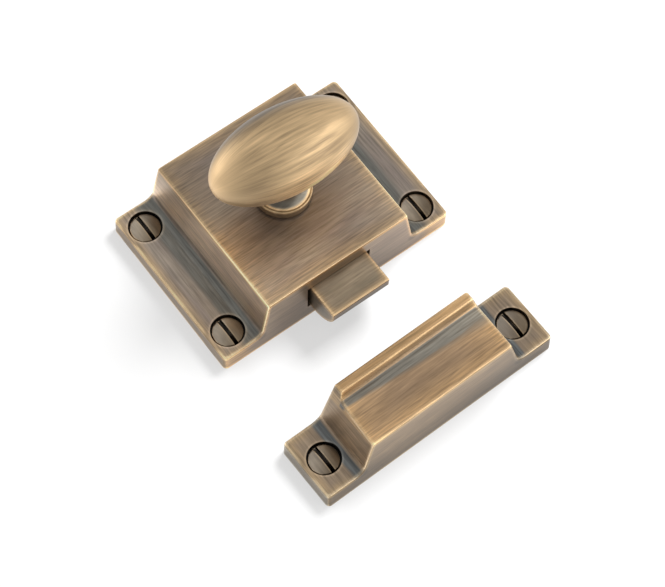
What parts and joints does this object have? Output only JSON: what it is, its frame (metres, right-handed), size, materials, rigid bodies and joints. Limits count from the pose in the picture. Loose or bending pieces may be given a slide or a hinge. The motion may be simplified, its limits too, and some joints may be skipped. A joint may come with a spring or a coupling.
{
  "type": "cupboard catch latch",
  "caption": "Surface-fixed cupboard catch: a flanged brass case with an oval turn knob and a sprung bevelled bolt, with its separate keep",
  "frame": {"origin": "middle of the latch case's base, on the face of the door, between its four fixing screws", "axes": "+Z out of the door through the knob, -Y the way the bolt points, +X along the case's long side"},
  "size_m": [0.0714, 0.0925, 0.0622],
  "materials": {
    "antique_brass": "brushed antique brass, darkened in the hollows and worn golden on the edges",
    "knob_brass": "brushed antique brass, lighter from handling",
    "screw_brass": "antique brass, darkened",
    "plate_steel": "plain zinc-plated sheet",
    "bush_brass": "turned brass",
    "bright_steel": "plain steel"
  },
  "bodies": {
    "latch": {"latch_case": "antique_brass", "back_plate": "plate_steel", "spindle_bush": "bush_brass", "spring_rod": "bright_steel", "bolt_spring": "bright_steel", "keep": "antique_brass", "keep_screw_1": "screw_brass", "keep_screw_2": "screw_brass", "case_screw_1": "screw_brass", "case_screw_2": "screw_brass", "case_screw_3": "screw_brass", "case_screw_4": "screw_brass", "plate_screw_1": "plate_steel", "plate_screw_2": "plate_steel", "plate_screw_3": "plate_steel", "plate_screw_4": "plate_steel"},
    "knob": {"knob": "knob_brass", "knob_washer": "bush_brass", "spindle": "bright_steel", "grub_screw": "bright_steel", "cam": "bright_steel", "cam_pin": "bright_steel"},
    "bolt": {"bolt": "antique_brass"}
  },
  "joints": [
    {"name": "knob_turn", "type": "hinge", "parent": "latch", "child": "knob", "pos_m": [0, 0, 0], "axis": [0, 0, 1], "range_deg": [0, 60]},
    {"name": "bolt_slide", "type": "slide", "parent": "latch", "child": "bolt", "axis": [0, 1, 0], "range_m": [0, 0.0085], "stiffness_N_per_m": 300, "springref_m": -0.005, "deforming": ["bolt_spring"]}
  ],
  "couplings": [
    {"joint": "knob_turn", "follows": "bolt_slide", "rad_per_m": 123.2}
  ]
}
